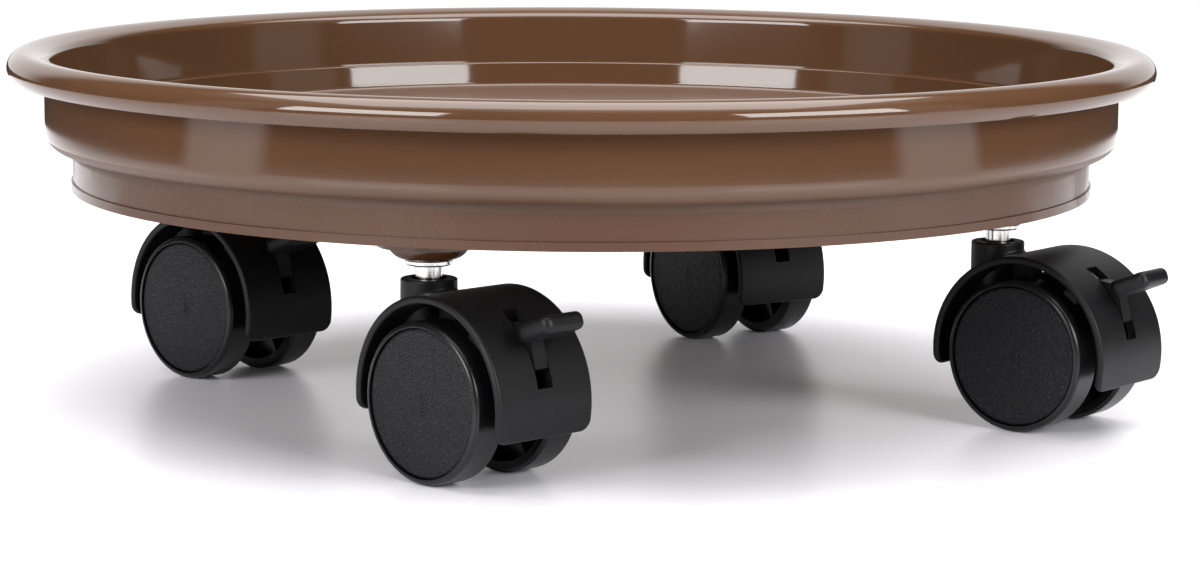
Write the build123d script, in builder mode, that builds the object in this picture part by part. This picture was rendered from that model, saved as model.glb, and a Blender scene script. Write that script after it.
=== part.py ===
"""Round plant caddy: a brown saucer-shaped tray on four braked twin-wheel casters.

Frame: origin on the floor under the centre of the tray, Z up, Y away from the front.
A caster is drawn once, with its stem on the Z axis, its wheels trailing towards +X and its
right wheel towards +Y, and is then placed at each corner, turned as it stands at rest.
"""
from build123d import *
from math import atan2, cos, degrees, hypot, radians, sin
import os

os.makedirs("parts", exist_ok=True)

# Tray: radii, and heights above the floor
rim_radius = 150.0
rim_widest_height = 87.0
rim_crest_radius = 145.7
rim_crest_height = 91.6
rim_shoulder_radius = 149.2
rim_shoulder_height = 89.9
rim_lower_radius = 148.4
rim_lower_height = 84.2
rim_inner_radius = 140.2
rim_inner_height = 90.3
rim_wall = 2.8
rim_edge_thickness = 1.2
band_radius = 140.5
band_corner_radius = 4.2
step_height = 66.7
wall_top_radius = 138.7
wall_top_height = 88.6
wall_foot_radius = 137.3
ledge_height = 76.1
ledge_thickness = 2.6
ledge_radius = 131.5
ledge_edge_radius = 0.6
floor_radius = 130.6
floor_fillet = 1.4
floor_height = 69.1
floor_thickness = 2.6
skirt_radius = 133.4
skirt_wall = 2.4
skirt_bottom_height = 55.6
hem_height = 2.2
hem_proud = 0.5
groove_width = 2.7

# Underside of the tray
rib_depth = 3.0
rib_thickness = 2.0
rib_count = 12
rib_ring_radius = 22.0
boss_radius = 12.3
boss_shoulder_height = 53.2
boss_bowl_radius = 9.5
boss_nose_radius = 6.2
boss_nose_height = 50.2
boss_bore_radius = 5.0

# Where the casters stand: stems on one circle, a quarter turn apart
stem_circle_radius = 112.6
first_stem_angle = 251.4
# corner name: quarter turns from the first stem, and the heading of the trailing side in degrees
corners = {
    "front_left": (0, -45.5),
    "front_right": (1, -38.6),
    "back_right": (2, -56.5),
    "back_left": (3, -43.9),
}

# Caster: wheels and axle
trail = 15.3
wheel_radius = 19.25
wheel_width = 9.2
wheels_overall = 33.4
wheel_edge_radius = 1.3
wheel_rim_thickness = 2.6
wheel_hub_radius = 6.0
wheel_web_thickness = 1.7
wheel_rib_count = 6
wheel_rib_thickness = 1.4
cap_radius = 17.7
cap_seat_depth = 1.4
cap_dome = 0.25
cap_edge_radius = 1.0
cap_post_radius = 1.2
cap_post_circle = 11.0
cap_post_count = 3
axle_radius = 3.0
axle_length = 28.4
running_clearance = 0.06
press_interference = 0.02

# Caster: housing
hood_radius = 25.05
hood_wall = 2.0
hood_width = 29.9
hood_trailing_end = -16.5
hood_leading_end = 191.5
hood_corner_radius = 3.0
hood_edge_radius = 0.8
column_radius = 6.8
column_bottom_height = 12.0
column_top_height = 45.6
column_edge_radius = 0.5
column_fairing_radius = 0.8
column_mouth_radius = 4.4
column_mouth_depth = 1.5
web_thickness = 5.0
web_first_angle = 100.0
web_last_angle = 195.0
axle_boss_radius = 5.5
axle_boss_width = 13.6
slot_width = 4.8
slot_low_angle = 11.3
slot_high_angle = 61.0
cheek_gap = 6.8
cheek_thickness = 2.0
cheek_half_width = 3.2

# Caster: stem, its grip ring and its clip
stem_radius = 3.2
stem_bottom_height = 17.6
flange_radius = 5.6
flange_thickness = 1.5
peg_radius = 4.0
peg_head_radius = 4.8
peg_head_height = 64.0
peg_top_height = 66.2
grip_ring_bottom_height = 51.0
grip_ring_top_height = 63.8
grip_ring_slit = 1.2
clip_groove_radius = 2.6
clip_groove_bottom = 23.8
clip_groove_height = 1.6
clip_radius = 4.3
clip_thickness = 1.3
clip_gap_angle = 70.0
clip_room_radius = 4.8
clip_room_margin = 0.6

# Caster: brake lever, in axle coordinates (trailing, up)
pivot_trailing = 5.5
pivot_up = 15.0
lever_travel = 10.0
lever_thickness = 4.0
lever_hub_radius = 3.0
lever_hub_width = 6.2
pin_radius = 1.25
pin_hole_radius = 1.31
shoe_width = 25.0
shoe_inner_gap = 0.3
shoe_thickness = 1.4
shoe_first_angle = 40.0
shoe_sweep = 12.0
web_low_angle = 22.0
web_high_angle = 50.0
web_heel_trailing = 17.5
web_heel_up = 8.0
web_front_trailing = 21.8
web_front_up = 15.5
pedal_root_trailing = 20.9
pedal_root_up = 17.3
pedal_tilt = 21.7
pedal_length = 11.3
pedal_root_width = 15.0
pedal_tip_width = 12.2
pedal_thickness = 4.3
pedal_root_corner = 3.0
pedal_tip_corner = 2.0
pedal_edge_radius = 1.7

# Worked out from the above
axle_height = wheel_radius
wheel_outer = wheels_overall / 2
wheel_inner = wheel_outer - wheel_width
tread_inner_radius = wheel_radius - wheel_rim_thickness
cap_seat = wheel_outer - cap_seat_depth
hood_inner_radius = hood_radius - hood_wall
floor_underside = floor_height - floor_thickness
flange_bottom_height = boss_nose_height - flange_thickness
axle_axis = Axis((trail, 0, axle_height), (0, 1, 0))
# Side view of a caster: local X trails, local Y is up, centred on the axle
axle_plane = Plane(origin=(trail, 0, axle_height), x_dir=(1, 0, 0), z_dir=(0, -1, 0))


def on_circle(radius, angle):
    """Point at a radius and an angle in degrees, in sketch coordinates."""
    return (radius * cos(radians(angle)), radius * sin(radians(angle)))


def corner_location(corner):
    """Place and turn of a caster that stands at this corner of the tray."""
    quarter_turns, heading = corners[corner]
    x, y = on_circle(stem_circle_radius, first_stem_angle + 90 * quarter_turns)
    return Location((x, y, 0), (0, 0, heading))


def side_plane(side):
    """Section through the axle: local X runs outwards along it, local Y is the radius."""
    return Plane(origin=(trail, 0, axle_height), x_dir=(0, side, 0), z_dir=(side, 0, 0))


def save(part, name):
    """Label a finished piece and write it under its node name."""
    part.label = name
    export_step(part, f"parts/{name}.step")


def annular_sector(inner, outer, first_angle, sweep, centre=(0, 0)):
    """Flat ring segment about a centre, to add to a sketch."""
    cx, cy = centre
    with BuildSketch(Plane.XY) as sector:
        with BuildLine():
            CenterArc(centre, outer, first_angle, sweep)
            CenterArc(centre, inner, first_angle, sweep)
            for angle in (first_angle, first_angle + sweep):
                (ax, ay), (bx, by) = on_circle(inner, angle), on_circle(outer, angle)
                Line((cx + ax, cy + ay), (cx + bx, cy + by))
        make_face()
    return sector.sketch


# Tray: one moulded shell with a curled rim, a stepped wall, a raised floor and a skirt
hem_top = skirt_bottom_height + hem_height
ledge_underside = ledge_height - ledge_thickness
groove_radius = skirt_radius + groove_width
band_foot_radius = band_radius - band_corner_radius
band_foot_height = step_height + band_corner_radius
curl_radius = rim_lower_radius - rim_edge_thickness
curl_top_height = rim_crest_height - rim_wall
curl_foot_height = rim_lower_height + 1.3
with BuildPart() as tray:
    with BuildSketch(Plane.XZ):
        with BuildLine():
            Polyline(
                (0, floor_underside),
                (skirt_radius - skirt_wall, floor_underside),
                (skirt_radius - skirt_wall, skirt_bottom_height),
                (skirt_radius + hem_proud, skirt_bottom_height),
                (skirt_radius + hem_proud, hem_top),
                (skirt_radius, hem_top),
                (skirt_radius, ledge_underside),
                (groove_radius, ledge_underside),
                (groove_radius, step_height),
                (band_foot_radius, step_height),
            )
            CenterArc((band_foot_radius, band_foot_height), band_corner_radius, -90, 90)
            Line((band_radius, band_foot_height), (band_radius, curl_foot_height))
            Spline(
                (band_radius, curl_foot_height),
                ((band_radius + curl_radius) / 2, curl_top_height),
                (curl_radius, curl_foot_height),
                tangents=((0, 1), (0, -1)),
            )
            Polyline(
                (curl_radius, curl_foot_height),
                (curl_radius, rim_lower_height),
                (rim_lower_radius, rim_lower_height),
            )
            Spline(
                (rim_lower_radius, rim_lower_height),
                (rim_radius, rim_widest_height),
                (rim_shoulder_radius, rim_shoulder_height),
                (rim_crest_radius, rim_crest_height),
                tangents=((1, 0.9), (-1, 0)),
            )
            Spline(
                (rim_crest_radius, rim_crest_height),
                (rim_inner_radius, rim_inner_height),
                (wall_top_radius, wall_top_height),
                tangents=((-1, 0), (-0.1, -1)),
            )
            Polyline(
                (wall_top_radius, wall_top_height),
                (wall_foot_radius, ledge_height),
                (ledge_radius + ledge_edge_radius, ledge_height),
            )
            CenterArc(
                (ledge_radius + ledge_edge_radius, ledge_height - ledge_edge_radius),
                ledge_edge_radius, 90, 90,
            )
            Line(
                (ledge_radius, ledge_height - ledge_edge_radius),
                (floor_radius, floor_height + floor_fillet),
            )
            CenterArc(
                (floor_radius - floor_fillet, floor_height + floor_fillet),
                floor_fillet, 0, -90,
            )
            Polyline(
                (floor_radius - floor_fillet, floor_height),
                (0, floor_height),
                (0, floor_underside),
            )
        make_face()
    revolve(axis=Axis.Z)

    # ribs under the floor
    with BuildSketch(Plane.XY.offset(floor_underside - rib_depth)):
        Circle(rib_ring_radius + rib_thickness)
        Circle(rib_ring_radius, mode=Mode.SUBTRACT)
        rib_length = skirt_radius - skirt_wall / 2 - rib_ring_radius
        with PolarLocations(rib_ring_radius + rib_length / 2, rib_count, first_stem_angle):
            Rectangle(rib_length, rib_thickness)
    extrude(amount=rib_depth + floor_thickness / 2)

    # four stepped bosses that hold the stems
    boss_top_height = floor_height - floor_thickness / 2
    for corner in corners:
        boss_origin = corner_location(corner).position
        with BuildSketch(Plane(origin=boss_origin, x_dir=(1, 0, 0), z_dir=(0, -1, 0))):
            with BuildLine():
                Polyline(
                    (boss_bowl_radius, boss_shoulder_height),
                    (boss_radius, boss_shoulder_height),
                    (boss_radius, boss_top_height),
                    (0, boss_top_height),
                    (0, boss_nose_height),
                    (boss_nose_radius, boss_nose_height),
                )
                Spline(
                    (boss_nose_radius, boss_nose_height),
                    (boss_bowl_radius, boss_shoulder_height),
                    tangents=((1, 0.1), (0, 1)),
                )
            make_face()
        revolve(axis=Axis(boss_origin, (0, 0, 1)))
    with BuildSketch(Plane.XY.offset(boss_nose_height)):
        with PolarLocations(stem_circle_radius, len(corners), first_stem_angle):
            Circle(boss_bore_radius)
    extrude(amount=floor_underside - boss_nose_height, mode=Mode.SUBTRACT)
save(tray.part, "tray")


# Stem: steel shaft that the caster swivels on, with a flange and a peg pressed into the tray
clip_groove_top = clip_groove_bottom + clip_groove_height
with BuildPart() as stem:
    with BuildSketch(Plane.XZ):
        Polygon(
            (0, stem_bottom_height),
            (stem_radius - 0.6, stem_bottom_height),
            (stem_radius, stem_bottom_height + 0.6),
            (stem_radius, clip_groove_bottom),
            (clip_groove_radius, clip_groove_bottom),
            (clip_groove_radius, clip_groove_top),
            (stem_radius, clip_groove_top),
            (stem_radius, flange_bottom_height),
            (flange_radius - 0.4, flange_bottom_height),
            (flange_radius, flange_bottom_height + 0.4),
            (flange_radius, boss_nose_height - 0.4),
            (flange_radius - 0.4, boss_nose_height),
            (peg_radius, boss_nose_height),
            (peg_radius, peg_head_height),
            (peg_head_radius, peg_head_height),
            (peg_head_radius, peg_top_height - 0.9),
            (peg_head_radius - 1.2, peg_top_height),
            (0, peg_top_height),
            align=None,
        )
    revolve(axis=Axis.Z)


# Grip ring: split spring sleeve round the peg
with BuildPart() as grip_ring:
    with BuildSketch(Plane.XY.offset(grip_ring_bottom_height)):
        Circle(boss_bore_radius + press_interference)
        Circle(peg_radius + press_interference, mode=Mode.SUBTRACT)
        with Locations((peg_head_radius, 0)):
            Rectangle(peg_radius, grip_ring_slit, mode=Mode.SUBTRACT)
    extrude(amount=grip_ring_top_height - grip_ring_bottom_height)


# Stem clip: open spring ring in the stem's groove, which keeps the housing on the stem
with BuildPart() as stem_clip:
    clip_bottom = clip_groove_bottom + (clip_groove_height - clip_thickness) / 2
    with BuildSketch(Plane.XY.offset(clip_bottom)):
        add(annular_sector(
            clip_groove_radius + 0.05, clip_radius,
            clip_gap_angle / 2, 360 - clip_gap_angle,
        ))
    extrude(amount=clip_thickness)


# Housing: hood over both wheels, with the stem's column, the axle boss and the lever's cheeks
with BuildPart() as housing:
    with BuildSketch(axle_plane):
        add(annular_sector(
            hood_inner_radius, hood_radius,
            hood_trailing_end, hood_leading_end - hood_trailing_end,
        ))
    extrude(amount=hood_width / 2, both=True)
    end_corners = housing.edges().filter_by(GeomType.LINE).filter_by(Axis.Y, reverse=True)
    fillet(end_corners, hood_corner_radius)
    hood_sides = housing.faces().filter_by(Axis.Y)
    fillet(hood_sides.edges(), hood_edge_radius)

    # column for the stem, closed at its foot and blended into the hood
    with BuildSketch(Plane.XY.offset(column_bottom_height)):
        Circle(column_radius)
    column_length = column_top_height - column_bottom_height
    extrude(amount=column_length)
    column_top = housing.faces().sort_by(Axis.Z)[-1]
    fillet(column_top.edges(), column_edge_radius)
    hood_top = housing.faces().filter_by(GeomType.CYLINDER).sort_by(SortBy.RADIUS)[-1]
    column_seam = hood_top.inner_wires()[0]
    fillet(column_seam.edges(), column_fairing_radius)

    # web between column, hood and axle boss
    with BuildSketch(axle_plane):
        add(annular_sector(
            axle_boss_radius - 1, hood_radius - hood_wall / 2,
            web_first_angle, web_last_angle - web_first_angle,
        ))
    extrude(amount=web_thickness / 2, both=True)
    with BuildSketch(axle_plane):
        Circle(axle_boss_radius)
    extrude(amount=axle_boss_width / 2, both=True)

    # cheeks that hang from the hood and carry the lever's pin
    cheek_low_x = pivot_trailing - cheek_half_width
    cheek_high_x = pivot_trailing + cheek_half_width
    cheek_reach = hood_inner_radius + hood_wall / 4
    for side in (-1, 1):
        cheek_face = axle_plane.offset(side * cheek_gap / 2)
        with BuildSketch(cheek_face):
            with Locations((pivot_trailing, pivot_up)):
                Circle(cheek_half_width)
            Polygon(
                (cheek_low_x, pivot_up),
                (cheek_high_x, pivot_up),
                (cheek_high_x, (cheek_reach**2 - cheek_high_x**2) ** 0.5),
                (cheek_low_x, (cheek_reach**2 - cheek_low_x**2) ** 0.5),
                align=None,
            )
        extrude(amount=side * cheek_thickness)

    # slot for the lever
    with BuildSketch(axle_plane):
        add(annular_sector(
            hood_inner_radius - 1, hood_radius + 1,
            slot_low_angle, slot_high_angle - slot_low_angle,
        ))
    extrude(amount=slot_width / 2, both=True, mode=Mode.SUBTRACT)

    # bores for the axle and the lever's pin
    with BuildSketch(axle_plane):
        Circle(axle_radius - press_interference)
        with Locations((pivot_trailing, pivot_up)):
            Circle(pin_radius - press_interference)
    extrude(amount=hood_width / 2, both=True, mode=Mode.SUBTRACT)

    # bore for the stem, with room for its clip and a wider mouth
    bore_radius = stem_radius + running_clearance
    room_bottom = clip_groove_bottom - clip_room_margin
    room_top = clip_groove_top + clip_room_margin
    mouth_bottom = column_top_height - column_mouth_depth
    with BuildSketch(Plane.XZ):
        Polygon(
            (0, stem_bottom_height - 0.1),
            (bore_radius, stem_bottom_height - 0.1),
            (bore_radius, room_bottom),
            (clip_room_radius, room_bottom),
            (clip_room_radius, room_top),
            (bore_radius, room_top),
            (bore_radius, mouth_bottom),
            (column_mouth_radius, mouth_bottom),
            (column_mouth_radius, column_top_height),
            (0, column_top_height),
            align=None,
        )
    revolve(axis=Axis.Z, mode=Mode.SUBTRACT)


# Axle and lever pin: plain steel pins
with BuildPart() as axle:
    with BuildSketch(axle_plane):
        Circle(axle_radius)
    extrude(amount=axle_length / 2, both=True)
    chamfer(axle.edges().filter_by(GeomType.CIRCLE), 0.4)

with BuildPart() as lever_pin:
    with BuildSketch(axle_plane):
        with Locations((pivot_trailing, pivot_up)):
            Circle(pin_radius)
    extrude(amount=cheek_gap / 2 + cheek_thickness, both=True)


def build_wheel(side):
    """Moulded wheel: hub, ribs and rim, open inwards, with a seat for its cap outwards."""
    bore = axle_radius + running_clearance
    bore_end = axle_length / 2 + 0.3
    edge = wheel_edge_radius
    with BuildPart() as wheel:
        with BuildSketch(side_plane(side)):
            with BuildLine():
                Polyline(
                    (wheel_outer - edge, wheel_radius),
                    (wheel_inner + 0.8, wheel_radius),
                    (wheel_inner, wheel_radius - 0.8),
                    (wheel_inner, tread_inner_radius),
                    (cap_seat - wheel_web_thickness, tread_inner_radius),
                    (cap_seat - wheel_web_thickness, wheel_hub_radius),
                    (wheel_inner - 0.4, wheel_hub_radius),
                    (wheel_inner - 0.4, bore),
                    (bore_end, bore),
                    (bore_end, 0),
                    (cap_seat, 0),
                    (cap_seat, cap_radius + 0.1),
                    (wheel_outer, cap_radius + 0.1),
                    (wheel_outer, wheel_radius - edge),
                )
                CenterArc((wheel_outer - edge, wheel_radius - edge), edge, 0, 90)
            make_face()
        revolve(axis=axle_axis)
        rib_start = wheel_inner + 1.2
        rib_span = tread_inner_radius - wheel_hub_radius + 0.4
        with BuildSketch(axle_plane.offset(-side * rib_start)):
            with PolarLocations((tread_inner_radius + wheel_hub_radius) / 2, wheel_rib_count):
                Rectangle(rib_span, wheel_rib_thickness)
        extrude(amount=-side * (cap_seat - wheel_web_thickness / 2 - rib_start))
        with BuildSketch(axle_plane.offset(-side * wheel_outer)):
            with PolarLocations(cap_post_circle, cap_post_count, 30):
                Circle(cap_post_radius + running_clearance)
        extrude(amount=side * wheel_width, mode=Mode.SUBTRACT)
    return wheel.part


def build_cap(side):
    """Round face disc, slightly domed, with three posts that plug into the wheel."""
    edge_centre_x = wheel_outer - cap_dome - cap_edge_radius
    edge_centre_y = cap_radius - cap_edge_radius
    with BuildPart() as cap:
        with BuildSketch(side_plane(side)):
            with BuildLine():
                Polyline(
                    (wheel_outer, 0),
                    (cap_seat, 0),
                    (cap_seat, cap_radius),
                    (edge_centre_x, cap_radius),
                )
                CenterArc((edge_centre_x, edge_centre_y), cap_edge_radius, 0, 90)
                TangentArc(
                    (wheel_outer, 0),
                    (wheel_outer - cap_dome, edge_centre_y),
                    tangent=(0, 1),
                )
            make_face()
        revolve(axis=axle_axis)
        with BuildSketch(axle_plane.offset(-side * (cap_seat + 0.4))):
            with PolarLocations(cap_post_circle, cap_post_count, 30):
                Circle(cap_post_radius)
        extrude(amount=side * (wheel_web_thickness + 0.8))
    return cap.part


# Brake lever: a web through the hood's slot, with a hub on the pin, a shoe over both treads
# and a tilted pedal outside; drawn released, so its shoe is turned back from the treads
pivot_distance = hypot(pivot_trailing, pivot_up)
pivot_bearing = degrees(atan2(pivot_up, pivot_trailing))
swing_x, swing_y = on_circle(pivot_distance, pivot_bearing + 180 + lever_travel)
shoe_centre = (pivot_trailing + swing_x, pivot_up + swing_y)
shoe_inner_radius = wheel_radius + shoe_inner_gap
pedal_plane = Plane(
    origin=(trail + pedal_root_trailing, 0, axle_height + pedal_root_up),
    x_dir=(cos(radians(pedal_tilt)), 0, sin(radians(pedal_tilt))),
    z_dir=(-sin(radians(pedal_tilt)), 0, cos(radians(pedal_tilt))),
)
with BuildPart() as brake_lever:
    with BuildSketch(pedal_plane) as pedal_outline:
        Polygon(
            (0, -pedal_root_width / 2),
            (pedal_length, -pedal_tip_width / 2),
            (pedal_length, pedal_tip_width / 2),
            (0, pedal_root_width / 2),
            align=None,
        )
        outline_corners = pedal_outline.vertices().group_by(Axis.X)
        fillet(outline_corners[-1], pedal_tip_corner)
        fillet(pedal_outline.vertices().group_by(Axis.X)[0], pedal_root_corner)
    extrude(amount=pedal_thickness / 2, both=True)
    pedal_faces = brake_lever.faces().filter_by(Axis(pedal_plane.origin, pedal_plane.z_dir))
    fillet(pedal_faces.edges(), pedal_edge_radius)

    # web, from the hub through the slot to the pedal
    with BuildSketch(axle_plane):
        Polygon(
            (pivot_trailing, pivot_up - lever_hub_radius),
            (web_heel_trailing, web_heel_up),
            on_circle(hood_inner_radius, web_low_angle),
            on_circle(hood_radius, web_low_angle),
            (web_front_trailing, web_front_up),
            (pedal_root_trailing + pedal_thickness * 0.7, pedal_root_up),
            (pedal_root_trailing + pedal_thickness / 4, pedal_root_up + pedal_thickness / 4),
            on_circle(hood_radius, web_high_angle),
            (pivot_trailing, pivot_up + lever_hub_radius),
            align=None,
        )
    extrude(amount=lever_thickness / 2, both=True)
    with BuildSketch(axle_plane):
        with Locations((pivot_trailing, pivot_up)):
            Circle(lever_hub_radius)
    extrude(amount=lever_hub_width / 2, both=True)

    # shoe that comes down on both treads
    with BuildSketch(axle_plane):
        add(annular_sector(
            shoe_inner_radius, shoe_inner_radius + shoe_thickness,
            shoe_first_angle + lever_travel, shoe_sweep, shoe_centre,
        ))
    extrude(amount=shoe_width / 2, both=True)
    with BuildSketch(axle_plane):
        with Locations((pivot_trailing, pivot_up)):
            Circle(pin_hole_radius)
    extrude(amount=lever_hub_width, both=True, mode=Mode.SUBTRACT)


# Every caster's pieces, copied to the four corners
caster_pieces = {
    "caster_stem": stem.part,
    "grip_ring": grip_ring.part,
    "stem_clip": stem_clip.part,
    "caster_housing": housing.part,
    "axle": axle.part,
    "lever_pin": lever_pin.part,
    "brake_lever": brake_lever.part,
    "left_wheel": build_wheel(-1),
    "right_wheel": build_wheel(1),
    "left_wheel_cap": build_cap(-1),
    "right_wheel_cap": build_cap(1),
}
for corner in corners:
    for piece_name, piece in caster_pieces.items():
        with BuildPart() as placed:
            with Locations(corner_location(corner)):
                add(piece)
        save(placed.part, f"{corner}_{piece_name}")
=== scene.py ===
# %% [markdown]
# # A round plant caddy on casters
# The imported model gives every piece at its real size. This script adds the looks: finishes for the
# moulded and metal pieces, finer shapes where light runs along an edge, and a small white studio.

# %% Load the frame and note its size
from math import cos, radians, sin

import bpy
from mathutils import Matrix, Vector


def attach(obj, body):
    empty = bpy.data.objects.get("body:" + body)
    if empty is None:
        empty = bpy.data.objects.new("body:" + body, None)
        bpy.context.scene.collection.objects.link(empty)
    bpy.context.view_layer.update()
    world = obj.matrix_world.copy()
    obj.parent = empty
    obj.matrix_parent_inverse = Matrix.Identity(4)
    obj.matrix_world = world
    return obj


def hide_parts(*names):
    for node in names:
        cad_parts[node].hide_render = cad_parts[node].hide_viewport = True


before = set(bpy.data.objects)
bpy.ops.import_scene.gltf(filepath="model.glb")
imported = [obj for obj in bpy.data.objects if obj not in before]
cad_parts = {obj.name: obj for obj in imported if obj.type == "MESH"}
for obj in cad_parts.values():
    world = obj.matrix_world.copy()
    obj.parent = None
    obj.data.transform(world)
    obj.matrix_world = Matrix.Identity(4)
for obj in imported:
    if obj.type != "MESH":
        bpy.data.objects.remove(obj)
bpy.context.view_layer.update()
CORNERS = ("front_left", "front_right", "back_right", "back_left")

# %% [markdown]
# The photograph's viewpoint comes first, because it decides which details need the most care. It was
# found by matching the rim's ellipse and the wheels' contact points with the real sizes.

# %% Camera at the photograph's viewpoint
CAMERA_PLACE = (0.0, -0.95505, 0.17037)
CAMERA_PITCH_DOWN = 0.148992
CAMERA_YAW = 0.005354
CAMERA_ROLL = -0.006198
LENS_MM = 108.76

forward = Vector((
    sin(CAMERA_YAW) * cos(CAMERA_PITCH_DOWN),
    cos(CAMERA_YAW) * cos(CAMERA_PITCH_DOWN),
    -sin(CAMERA_PITCH_DOWN),
))
level_right = Vector((cos(CAMERA_YAW), -sin(CAMERA_YAW), 0.0))
level_up = level_right.cross(forward)
right = level_right * cos(CAMERA_ROLL) - level_up * sin(CAMERA_ROLL)
up = level_right * sin(CAMERA_ROLL) + level_up * cos(CAMERA_ROLL)
turn = Matrix((right, up, -forward)).transposed().to_4x4()
camera = bpy.data.objects.new("camera", bpy.data.cameras.new("camera"))
camera.matrix_world = Matrix.Translation(CAMERA_PLACE) @ turn
camera.data.lens = LENS_MM
camera.data.sensor_width = 36.0
camera.data.clip_start = 0.01
bpy.context.scene.collection.objects.link(camera)
bpy.context.scene.camera = camera
bpy.context.scene.view_settings.view_transform = "Standard"
print("camera height:", CAMERA_PLACE[2])

# %% [markdown]
# A finish is easier to read as a formula than as a web of nodes. These two small classes let Python
# write the nodes: sums on a signal add Math nodes, and one method adds any other node.

# %% Helpers that write shader nodes
class Signal:
    """A node's output that can be used in sums; each sum adds its Math node."""

    def __init__(self, paint, socket):
        self.paint = paint
        self.socket = socket

    def maths(self, operation, first, second):
        return self.paint.node("Math", {"operation": operation}, {0: first, 1: second})

    def __add__(self, other):
        return self.maths("ADD", self, other)

    __radd__ = __add__

    def __sub__(self, other):
        return self.maths("SUBTRACT", self, other)

    def __rsub__(self, other):
        return self.maths("SUBTRACT", other, self)

    def __mul__(self, other):
        return self.maths("MULTIPLY", self, other)

    __rmul__ = __mul__

    def __truediv__(self, other):
        return self.maths("DIVIDE", self, other)


class Paint:
    """A node tree under construction, with one method that adds any node."""

    def __init__(self, tree):
        self.tree = tree

    def node(self, kind, settings=None, inputs=None, output=0):
        made = self.tree.nodes.new("ShaderNode" + kind)
        for name, value in (settings or {}).items():
            setattr(made, name, value)
        for name, value in (inputs or {}).items():
            self.plug(value, made.inputs[name])
        return Signal(self, made.outputs[output])

    def plug(self, value, socket):
        if isinstance(value, Signal):
            self.tree.links.new(value.socket, socket)
        else:
            socket.default_value = value

    def place(self):
        """Position on the piece, in metres, in the caddy's own frame."""
        return self.node("TexCoord", output="Object")

    def noise(self, place, scale, detail=3.0, roughness=0.5):
        inputs = {"Vector": place, "Scale": scale, "Detail": detail, "Roughness": roughness}
        return self.node("TexNoise", inputs=inputs)

    def stretch(self, place, scale):
        return self.node("VectorMath", {"operation": "MULTIPLY"}, {0: place, 1: scale})

    def rise(self, signal, start, end):
        """Smooth step: 0 where the signal is at the start value, 1 where it is at the end value."""
        inputs = {"Value": signal, "From Min": start, "From Max": end}
        return self.node("MapRange", {"interpolation_type": "SMOOTHSTEP"}, inputs)

    def blend(self, mask, first, second):
        """Mix two colours; a Mix node keeps its colour sockets at 6 and 7, and its result at 2."""
        return self.node("Mix", {"data_type": "RGBA"}, {0: mask, 6: first, 7: second}, output=2)

    def axis(self, place, name):
        return self.node("SeparateXYZ", inputs={0: place}, output=name)

    def bump(self, height, distance, strength=1.0, under=None):
        inputs = {"Height": height, "Distance": distance, "Strength": strength}
        if under:
            inputs["Normal"] = under
        return self.node("Bump", inputs=inputs)


def opaque(colour):
    return (*colour, 1.0)


def finish(name, base, metallic=0.0, ior=1.5):
    """A new material with a Principled shader; returns the material, its paint and its sockets."""
    material = bpy.data.materials.new(name)
    material.use_nodes = True
    paint = Paint(material.node_tree)
    sockets = material.node_tree.nodes["Principled BSDF"].inputs
    sockets["Base Color"].default_value = opaque(base)
    sockets["Metallic"].default_value = metallic
    sockets["IOR"].default_value = ior
    return material, paint, sockets


print("helpers ready")

# %% [markdown]
# The tray is injection-moulded polypropylene, coloured right through. Its upper faces come from a
# polished mould, so they mirror the lamps, while the skirt has been rubbed by stacking and shows
# fine upright scratches that spread the light. The skirt is also painted a darker, redder brown than
# the rest of the tray: painted shade below the overhanging band.

# %% Tray plastic
TRAY_BROWN = (0.080, 0.038, 0.019)
TRAY_DARK_BROWN = (0.069, 0.033, 0.016)
# Skirt colour: painted shade, darker and redder than the tray's own brown.
SKIRT_PAINTED_SHADE_BROWN = (0.066, 0.026, 0.011)
FLOOR_HEIGHT = 0.0691
SKIRT_TOP = 0.0667
CLOUD_SCALE = 9.0
WAVE_SCALE = 14.0
WAVE_DEPTH = 0.0003
GRAIN_SCALE = 900.0
PATCH_SCALE = 28.0
SCRATCH_SCALES = (900.0, 900.0, 40.0)
SCRATCH_DEPTH = 0.00005
POLISHED = 0.045
GRAIN_HAZE = 0.03
SKIRT_HAZE = 0.13
RUB_HAZE = 0.36
FLOOR_HAZE = 0.42


def tray_plastic():
    material, paint, sockets = finish("tray_plastic", TRAY_BROWN, ior=1.5)
    place = paint.place()
    clouds = paint.rise(paint.noise(place, CLOUD_SCALE, 2.0), 0.35, 0.65)
    colour = paint.blend(clouds, opaque(TRAY_DARK_BROWN), opaque(TRAY_BROWN))
    height = paint.axis(place, "Z")
    skirt = paint.rise(height, SKIRT_TOP - 0.0015, SKIRT_TOP - 0.003)
    # Below the band the skirt is painted a darker brown: painted shade.
    paint.plug(paint.blend(skirt, colour, opaque(SKIRT_PAINTED_SHADE_BROWN)), sockets["Base Color"])
    streaks = paint.noise(paint.stretch(place, SCRATCH_SCALES), 1.0, 3.0, 0.6)
    rub = skirt * paint.rise(paint.noise(place, PATCH_SCALE, 3.0), 0.42, 0.62)
    fine = paint.noise(place, GRAIN_SCALE, 2.0)
    well = paint.rise(height, FLOOR_HEIGHT + 0.0006, FLOOR_HEIGHT) * (1.0 - skirt)
    haze = skirt * SKIRT_HAZE + rub * streaks * RUB_HAZE + well * FLOOR_HAZE
    paint.plug(POLISHED + fine * GRAIN_HAZE + haze, sockets["Roughness"])
    wavy = paint.bump(paint.noise(place, WAVE_SCALE, 1.0), WAVE_DEPTH, 0.25)
    scratched = paint.bump(streaks * rub, SCRATCH_DEPTH, 0.6, under=wavy)
    paint.plug(scratched, sockets["Normal"])
    return material


TRAY_PLASTIC = tray_plastic()
print("made", TRAY_PLASTIC.name)

# %% [markdown]
# The casters are glass-filled nylon. The housings leave the mould with a fine satin texture, the
# wheels' rims are polished by the mould, and their caps carry a leather grain that hides scuffs.

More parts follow.
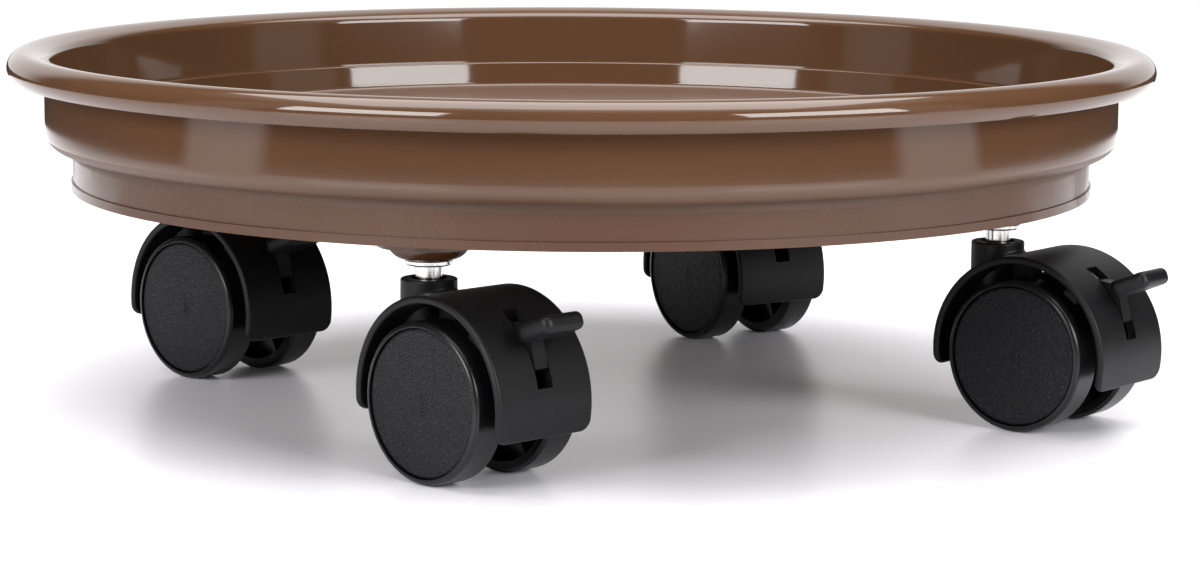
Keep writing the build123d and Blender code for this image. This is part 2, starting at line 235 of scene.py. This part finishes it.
# %% Caster plastics
NYLON_BLACK = (0.0045, 0.0045, 0.0052)
NYLON_IOR = 1.32
RIM_IOR = NYLON_IOR + 0.08
CAP_BLACK = (0.0068, 0.0068, 0.0082)
SATIN_DEPTH = 0.00004
POLISH_DEPTH = 0.00002
LEATHER_SCALE = 1250.0
LEATHER_DEPTH = 0.00017


def housing_plastic():
    material, paint, sockets = finish("housing_plastic", NYLON_BLACK, ior=NYLON_IOR)
    place = paint.place()
    fine = paint.noise(place, 2600.0, 2.0, 0.6)
    clouds = paint.noise(place, 60.0, 3.0)
    paint.plug(0.34 + fine * 0.10 + clouds * 0.08, sockets["Roughness"])
    paint.plug(paint.bump(fine, SATIN_DEPTH, 0.5), sockets["Normal"])
    return material


def wheel_plastic():
    material, paint, sockets = finish("wheel_plastic", NYLON_BLACK, ior=RIM_IOR)
    place = paint.place()
    clouds = paint.noise(place, 90.0, 3.0)
    fine = paint.noise(place, 2400.0, 2.0)
    paint.plug(0.20 + clouds * 0.12 + fine * 0.05, sockets["Roughness"])
    paint.plug(paint.bump(fine, POLISH_DEPTH, 0.4), sockets["Normal"])
    return material


def cap_plastic():
    material, paint, sockets = finish("cap_plastic", CAP_BLACK, ior=NYLON_IOR)
    place = paint.place()
    wander = paint.noise(place, 500.0, 2.0)
    inputs = {"Vector": place, "Scale": LEATHER_SCALE}
    creases = paint.node("TexVoronoi", {"feature": "DISTANCE_TO_EDGE"}, inputs)
    pebbles = paint.rise(creases, 0.0, 0.28)
    grain = pebbles * 0.7 + wander * 0.5
    paint.plug(0.52 - pebbles * 0.16, sockets["Roughness"])
    paint.plug(paint.bump(grain, LEATHER_DEPTH, 0.9), sockets["Normal"])
    return material


HOUSING_PLASTIC = housing_plastic()
WHEEL_PLASTIC = wheel_plastic()
CAP_PLASTIC = cap_plastic()
print("made", HOUSING_PLASTIC.name, WHEEL_PLASTIC.name, CAP_PLASTIC.name)

# %% [markdown]
# The stems are turned from steel and plated bright; the pins, clips and rings inside are plain steel.

# %% Steels
CHROME_GREY = (0.72, 0.71, 0.69)
STEEL_GREY = (0.42, 0.41, 0.40)
TURNING_SCALES = (120.0, 120.0, 5200.0)
STEEL_DEPTH = 0.00002


def bright_steel():
    material, paint, sockets = finish("bright_steel", CHROME_GREY, metallic=1.0)
    place = paint.place()
    rings = paint.noise(paint.stretch(place, TURNING_SCALES), 1.0, 2.0)
    stains = paint.noise(place, 260.0, 3.0)
    paint.plug(0.12 + rings * 0.10 + stains * 0.08, sockets["Roughness"])
    paint.plug(paint.bump(rings, STEEL_DEPTH, 0.5), sockets["Normal"])
    return material


def plain_steel():
    material, paint, sockets = finish("plain_steel", STEEL_GREY, metallic=1.0)
    place = paint.place()
    stains = paint.noise(place, 420.0, 3.0)
    paint.plug(0.28 + stains * 0.18, sockets["Roughness"])
    paint.plug(paint.bump(stains, STEEL_DEPTH, 0.4), sockets["Normal"])
    return material


BRIGHT_STEEL = bright_steel()
PLAIN_STEEL = plain_steel()
print("made", BRIGHT_STEEL.name, PLAIN_STEEL.name)

# %% [markdown]
# The four casters repeat the same eleven pieces, so a piece's finish is looked up by its name with
# the corner taken off.

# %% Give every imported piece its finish
FINISHES = {
    "tray": TRAY_PLASTIC,
    "caster_stem": BRIGHT_STEEL,
    "grip_ring": PLAIN_STEEL,
    "stem_clip": PLAIN_STEEL,
    "axle": PLAIN_STEEL,
    "lever_pin": PLAIN_STEEL,
    "caster_housing": HOUSING_PLASTIC,
    "brake_lever": HOUSING_PLASTIC,
    "left_wheel": WHEEL_PLASTIC,
    "right_wheel": WHEEL_PLASTIC,
    "left_wheel_cap": CAP_PLASTIC,
    "right_wheel_cap": CAP_PLASTIC,
}
for node_name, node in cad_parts.items():
    for corner in CORNERS:
        node_name = node_name.removeprefix(corner + "_")
    node.data.materials.clear()
    node.data.materials.append(FINISHES[node_name])
print("finished", len(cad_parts), "packed pieces")

# %% [markdown]
# The rim and the walls are curved mirrors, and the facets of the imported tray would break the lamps'
# reflections up. A finer tray is turned on a lathe: one point is extruded along the section, from
# the middle of the floor out over the rim and back under, and the line is spun about the upright
# axis. Long straight stretches get a point near each end, which keeps their shading flat.

# %% Helpers that draw a section from points of radius and height
MM = 0.001
SUPPORT = 0.5
CURVE_STEPS = 8


def straight(start, end):
    """Points of a straight stretch, with one near each end."""
    (x0, y0), (x1, y1) = start, end
    part = SUPPORT / max(abs(x1 - x0), abs(y1 - y0))
    if part >= 0.4:
        return [start, end]
    return [(x0 + (x1 - x0) * t, y0 + (y1 - y0) * t) for t in (0.0, part, 1.0 - part, 1.0)]


def arc(centre, radius, first, last, count=CURVE_STEPS):
    """Points along an arc, from the first to the last angle in degrees."""
    turns = [radians(first + (last - first) * step / count) for step in range(count + 1)]
    return [(centre[0] + radius * cos(turn), centre[1] + radius * sin(turn)) for turn in turns]


def smooth(points, first_way, last_way):
    """Smooth curve through points, leaving and arriving in the given directions."""
    knots = [Vector(point) for point in points]
    spans = [(b - a).length for a, b in zip(knots, knots[1:])]
    ways = [Vector(first_way).normalized()]
    for a, b in zip(knots, knots[2:]):
        ways.append((b - a).normalized())
    ways.append(Vector(last_way).normalized())
    made = []
    for index, span in enumerate(spans):
        a, b = knots[index], knots[index + 1]
        for step in range(CURVE_STEPS):
            t = step / CURVE_STEPS
            rise = t * t * (3.0 - 2.0 * t)
            leave = t * (1.0 - t) * (1.0 - t) * span
            arrive = t * t * (t - 1.0) * span
            point = a.lerp(b, rise) + ways[index] * leave + ways[index + 1] * arrive
            made.append(tuple(point))
    return made + [tuple(knots[-1])]


print("a quarter circle takes", len(arc((0.0, 0.0), 1.0, 0, 90)), "points")

# %% Section of the tray, in millimetres
RIM_CREST = (145.7, 91.6)
RIM_INNER_ROUND = (140.2, 90.3)
RIM_OUTER_ROUND = (149.05, 89.9)
RIM_EDGE = (150.0, 87.0)
RIM_HEM = (148.4, 84.2)
RIM_INSIDE = 147.2
GUTTER_TOP = (143.85, 88.8)
GUTTER_HEIGHT = 85.5
WALL_TOP = (138.7, 88.6)
WALL_FOOT = 137.3
LEDGE_HEIGHT = 76.1
LEDGE_RADIUS = 131.5
LEDGE_ROUND = 0.6
FLOOR_TOP = 69.1
FLOOR_UNDERSIDE = 66.5
FLOOR_RADIUS = 130.6
FLOOR_FILLET = 1.4
BAND_RADIUS = 140.5
BAND_CORNER = 4.2
BAND_CORNER_STEPS = 12
STEP_HEIGHT = 66.7
POCKET_RADIUS = 136.1
POCKET_TOP = 73.5
SKIRT_RADIUS = 133.4
SKIRT_INSIDE = 131.0
SKIRT_BOTTOM = 55.6
HEM_RADIUS = 133.9
HEM_TOP = 57.8

band_foot = (BAND_RADIUS - BAND_CORNER, STEP_HEIGHT + BAND_CORNER)
ledge_centre = (LEDGE_RADIUS + LEDGE_ROUND, LEDGE_HEIGHT - LEDGE_ROUND)
floor_edge = (FLOOR_RADIUS - FLOOR_FILLET, FLOOR_TOP)
gutter_outside = (RIM_INSIDE, GUTTER_HEIGHT)
gutter_inside = (BAND_RADIUS, GUTTER_HEIGHT)
stretches = [
    straight((0.0, FLOOR_TOP), floor_edge),
    arc((floor_edge[0], FLOOR_TOP + FLOOR_FILLET), FLOOR_FILLET, -90, 0),
    straight((FLOOR_RADIUS, FLOOR_TOP + FLOOR_FILLET), (LEDGE_RADIUS, ledge_centre[1])),
    arc(ledge_centre, LEDGE_ROUND, 180, 90),
    straight((ledge_centre[0], LEDGE_HEIGHT), (WALL_FOOT, LEDGE_HEIGHT)),
    straight((WALL_FOOT, LEDGE_HEIGHT), WALL_TOP),
    smooth([WALL_TOP, RIM_INNER_ROUND, RIM_CREST], (0.1, 1.0), (1.0, 0.0)),
    smooth([RIM_CREST, RIM_OUTER_ROUND, RIM_EDGE, RIM_HEM], (1.0, 0.0), (-1.0, -0.9)),
    [(RIM_INSIDE, RIM_HEM[1]), gutter_outside],
    smooth([gutter_outside, GUTTER_TOP, gutter_inside], (0.0, 1.0), (0.0, -1.0)),
    straight(gutter_inside, (BAND_RADIUS, band_foot[1])),
    arc(band_foot, BAND_CORNER, 0, -90, BAND_CORNER_STEPS),
    [(POCKET_RADIUS, STEP_HEIGHT), (POCKET_RADIUS, POCKET_TOP), (SKIRT_RADIUS, POCKET_TOP)],
    straight((SKIRT_RADIUS, POCKET_TOP), (SKIRT_RADIUS, HEM_TOP)),
    [(HEM_RADIUS, HEM_TOP), (HEM_RADIUS, SKIRT_BOTTOM), (SKIRT_INSIDE, SKIRT_BOTTOM)],
    [(SKIRT_INSIDE, FLOOR_UNDERSIDE), (0.0, FLOOR_UNDERSIDE)],
]
SAME_POINT = 0.001
section = []
for stretch in stretches:
    for point in stretch:
        if not section or (Vector(point) - Vector(section[-1])).length > SAME_POINT:
            section.append(point)
print("points in the section:", len(section))

# %% [markdown]
# A lathe in Blender is the spin tool. The plane is merged to a single point first, so each extrusion
# draws one edge of the section. Where the section meets the axis, merging the doubles closes the
# middle, and the normals are turned outwards last.

# %% Turn the tray on a lathe
LATHE_STEPS = 288
SHARP_ANGLE = radians(28)


def lathe(name, points, centre, steps):
    """Extrude one point along a section in the XZ plane, then spin it about an upright axis."""
    bpy.ops.object.select_all(action="DESELECT")
    bpy.ops.mesh.primitive_plane_add(size=MM, location=(0.0, 0.0, 0.0))
    piece = bpy.context.object
    piece.name = name
    bpy.ops.object.mode_set(mode="EDIT")
    bpy.ops.mesh.select_all(action="SELECT")
    bpy.ops.mesh.merge(type="CENTER")
    start = Vector((points[0][0], 0.0, points[0][1])) * MM + Vector(centre)
    bpy.ops.transform.translate(value=start)
    for (x0, z0), (x1, z1) in zip(points, points[1:]):
        step = Vector((x1 - x0, 0.0, z1 - z0)) * MM
        bpy.ops.mesh.extrude_region_move(TRANSFORM_OT_translate={"value": step})
    bpy.ops.mesh.select_all(action="SELECT")
    bpy.ops.mesh.spin(steps=steps, angle=radians(360), center=centre, axis=(0.0, 0.0, 1.0))
    bpy.ops.mesh.select_all(action="SELECT")
    bpy.ops.mesh.remove_doubles(threshold=MM / 200)
    bpy.ops.mesh.normals_make_consistent(inside=False)
    bpy.ops.object.mode_set(mode="OBJECT")
    bpy.ops.object.shade_smooth_by_angle(angle=SHARP_ANGLE)
    return piece


shell = lathe("tray_shell", section, (0.0, 0.0, 0.0), LATHE_STEPS)
print("shell faces:", len(shell.data.polygons))

# %% [markdown]
# Under the floor a ring and twelve ribs stiffen the tray, and four stepped bosses take the stems.
# The ribs that meet a boss stop short of its bore.

# %% Ring, bosses and ribs under the floor
STEM_CIRCLE = 112.6
FIRST_STEM_ANGLE = 251.4
RIB_BOTTOM = 63.5
RIB_TOP = 66.9
RIB_WIDTH = 2.0
RIB_COUNT = 12
RIB_GAP = 8.0
RING_INSIDE = 22.0
RING_STEPS = 96
BOSS_BORE = 5.0
BOSS_FACE = 6.2
BOSS_ROUND = 9.5
BOSS_RADIUS = 12.3
BOSS_FOOT = 50.2
BOSS_SHOULDER = 53.2
BOSS_STEPS = 64
BOSS_SECTION = [
    (BOSS_BORE, FLOOR_UNDERSIDE), (BOSS_BORE, BOSS_FOOT),
    *smooth([(BOSS_FACE, BOSS_FOOT), (BOSS_ROUND, BOSS_SHOULDER)], (1.0, 0.1), (0.0, 1.0)),
    (BOSS_RADIUS, BOSS_SHOULDER), (BOSS_RADIUS, RIB_TOP),
]


def on_circle(radius, angle, height=0.0):
    turn = radians(angle)
    return (radius * cos(turn) * MM, radius * sin(turn) * MM, height * MM)


def rib(inner, outer, angle):
    """Upright bar under the floor, along a radius."""
    bpy.ops.object.select_all(action="DESELECT")
    middle = on_circle((inner + outer) / 2, angle, (RIB_BOTTOM + RIB_TOP) / 2)
    bpy.ops.mesh.primitive_cube_add(size=1.0, location=middle, rotation=(0.0, 0.0, radians(angle)))
    bar = bpy.context.object
    bar.scale = ((outer - inner) * MM, RIB_WIDTH * MM, (RIB_TOP - RIB_BOTTOM) * MM)
    bpy.ops.object.transform_apply(location=True, rotation=True, scale=True)
    return bar


ring_section = [
    (RING_INSIDE, RIB_TOP), (RING_INSIDE, RIB_BOTTOM),
    (RING_INSIDE + RIB_WIDTH, RIB_BOTTOM), (RING_INSIDE + RIB_WIDTH, RIB_TOP),
]
parts_below = [lathe("rib_ring", ring_section, (0.0, 0.0, 0.0), RING_STEPS)]
for quarter in range(4):
    boss_place = on_circle(STEM_CIRCLE, FIRST_STEM_ANGLE + 90 * quarter)
    parts_below.append(lathe("boss", BOSS_SECTION, boss_place, BOSS_STEPS))
RIB_END = (SKIRT_RADIUS + SKIRT_INSIDE) / 2
for number in range(RIB_COUNT):
    rib_angle = FIRST_STEM_ANGLE + 360 / RIB_COUNT * number
    if number % 3:
        parts_below.append(rib(RING_INSIDE, RIB_END, rib_angle))
    else:
        parts_below.append(rib(RING_INSIDE, STEM_CIRCLE - RIB_GAP, rib_angle))
        parts_below.append(rib(STEM_CIRCLE + RIB_GAP, RIB_END, rib_angle))
bpy.ops.object.select_all(action="DESELECT")
for part in parts_below:
    part.select_set(True)
shell.select_set(True)
bpy.context.view_layer.objects.active = shell
bpy.ops.object.join()
shell.data.materials.clear()
shell.data.materials.append(TRAY_PLASTIC)
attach(shell, "tray")
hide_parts("tray")
print("tray faces:", len(shell.data.polygons))

# %% [markdown]
# The studio is a white table with soft lamps. The tray is a curved mirror, so what stands round it
# matters as much as the lamps do: two tall softboxes, a lamp overhead, a white wall behind and a dim
# room in front. In front, the floor beyond the table glows dim brown to reflections alone: a painted
# reflection of that room.

# %% Floor
FLOOR_SIZE = 8.0
TABLE_RADIUS = 0.72
FLOOR_FAR = (0.88, 0.87, 0.89)
# Floor colour round the caddy: painted shadow, a little darker and bluer than the far floor.
FLOOR_PAINTED_SHADOW = (0.84, 0.83, 0.87)
PAINTED_ROOM_REFLECTION_BROWN = (0.10, 0.08, 0.07)
PAINTED_ROOM_REFLECTION_GLOW = 0.6

bpy.ops.object.select_all(action="DESELECT")
bpy.ops.mesh.primitive_plane_add(size=FLOOR_SIZE, location=(0.0, 0.0, 0.0))
floor = bpy.context.object
floor.name = "floor"


def floor_white():
    """White table, painted darker round the caddy as painted shadow; beyond it the floor glows dim
    brown to reflections alone, a painted reflection of a dim room, except at its two sides.
    """
    material, paint, sockets = finish("floor_white", FLOOR_FAR, ior=1.45)
    place = paint.place()
    soft = paint.noise(place, 6.0, 2.0)
    paint.plug(0.28 + soft * 0.06, sockets["Roughness"])
    flat = paint.stretch(place, (1.0, 1.0, 0.0))
    radius = paint.node("VectorMath", {"operation": "LENGTH"}, {0: flat}, output="Value")
    # The floor is painted darker within about a third of a metre of the middle: painted shadow round
    # the caddy.
    near = paint.rise(radius, 0.34, 0.17)
    paint.plug(paint.blend(near, opaque(FLOOR_FAR), opaque(FLOOR_PAINTED_SHADOW)), sockets["Base Color"])
    beyond = paint.rise(radius, TABLE_RADIUS - 0.01, TABLE_RADIUS + 0.015)
    bearing = paint.axis(flat, "Y") / radius
    side = paint.rise(bearing, -0.50, -0.42) * paint.rise(bearing, -0.10, -0.18)
    mirrored = paint.node("LightPath", output="Is Glossy Ray")
    # Painted reflection: beyond the table the floor glows dim brown, seen by glossy rays only.
    shade = paint.node("Emission", inputs={"Color": opaque(PAINTED_ROOM_REFLECTION_BROWN), "Strength": PAINTED_ROOM_REFLECTION_GLOW})
    output = material.node_tree.nodes["Material Output"]
    white = Signal(paint, material.node_tree.nodes["Principled BSDF"].outputs[0])
    mixed = paint.node("MixShader", inputs={0: beyond * mirrored * (1.0 - side), 1: white, 2: shade})
    paint.plug(mixed, output.inputs["Surface"])
    return material


floor.data.materials.append(floor_white())
print("table radius seen in reflections:", TABLE_RADIUS)

# %% [markdown]
# The two softboxes stand to the left and right in front and draw the bright windows on the tray's
# wall and the streaks on its rim. The overhead lamp gives the soft shade under the tray, and the
# floor's darker middle adds painted shadow there.

# %% Lamps
def aim(lamp, target):
    """Turn a lamp so that it shines at a point."""
    away = Vector(lamp.location) - Vector(target)
    lamp.rotation_euler = away.to_track_quat("Z", "Y").to_euler()


def soft_lamp(name, place, size, power, target):
    light = bpy.data.lights.new(name, "AREA")
    light.shape = "RECTANGLE"
    light.size, light.size_y = size
    light.energy = power
    lamp = bpy.data.objects.new(name, light)
    lamp.location = place
    aim(lamp, target)
    lamp.visible_camera = False
    bpy.context.scene.collection.objects.link(lamp)
    print("lamp", name, "at", tuple(round(v, 2) for v in place))
    return lamp


def around(azimuth, distance, height):
    """Point at an angle from the front (positive to the right), in metres."""
    angle = radians(azimuth)
    return (distance * sin(angle), -distance * cos(angle), height)


OVERHEAD_PLACE = (0.0, 0.1, 1.5)
OVERHEAD_SIZE = (1.7, 1.3)
OVERHEAD_POWER = 34.0
CADDY_MIDDLE = (0.0, 0.0, 0.06)
soft_lamp("overhead", OVERHEAD_PLACE, OVERHEAD_SIZE, OVERHEAD_POWER, CADDY_MIDDLE)

SOFTBOX_DISTANCE = 1.3
SOFTBOX_HEIGHT = 0.58
SOFTBOX_TALL = 0.54
SOFTBOX_POWER = 15.0
SOFTBOX_TARGET = (0.0, 0.0, 0.4)
SOFTBOXES = {"left_softbox": (-41.5, 0.74), "right_softbox": (46.0, 0.76)}
for lamp_name, (azimuth, width) in SOFTBOXES.items():
    lamp_place = around(azimuth, SOFTBOX_DISTANCE, SOFTBOX_HEIGHT)
    soft_lamp(lamp_name, lamp_place, (width, SOFTBOX_TALL), SOFTBOX_POWER, SOFTBOX_TARGET)

# %% [markdown]
# The world shader is the room. The camera sees a white wall, the matt surfaces get a little even
# light, and the glossy ones see the dim room in front, the wall behind and the ceiling above.

# %% Room seen in reflections, and the white wall behind
ROOM_WHITE = (1.0, 0.985, 0.98)
WALL_BEHIND = 1.1
CEILING = 1.2
EVEN_LIGHT = 0.25
DIM_ROOM = 0.02
SIDE_WINDOW = 0.45
SEEN_WHITE = 1.05

world = bpy.data.worlds.new("studio")
bpy.context.scene.world = world
world.use_nodes = True
air = Paint(world.node_tree)
look = air.node("TexCoord", output="Generated")
bearing = air.axis(look, "Y")
behind = air.rise(bearing, 0.62, 0.82)
side = air.rise(bearing, -0.46, -0.40) * air.rise(bearing, -0.10, -0.16)
above = air.rise(air.axis(look, "Z"), 0.70, 0.90)
mirrored = air.node("LightPath", output="Is Glossy Ray")
seen_directly = air.node("LightPath", output="Is Camera Ray")
room = (1.0 - mirrored) * EVEN_LIGHT + mirrored * (DIM_ROOM + side * SIDE_WINDOW) + above * CEILING
wall = behind * WALL_BEHIND + (1.0 - behind) * room
background = world.node_tree.nodes["Background"].inputs
air.plug(seen_directly * SEEN_WHITE + (1.0 - seen_directly) * wall, background["Strength"])
background["Color"].default_value = opaque(ROOM_WHITE)
print("studio ready")
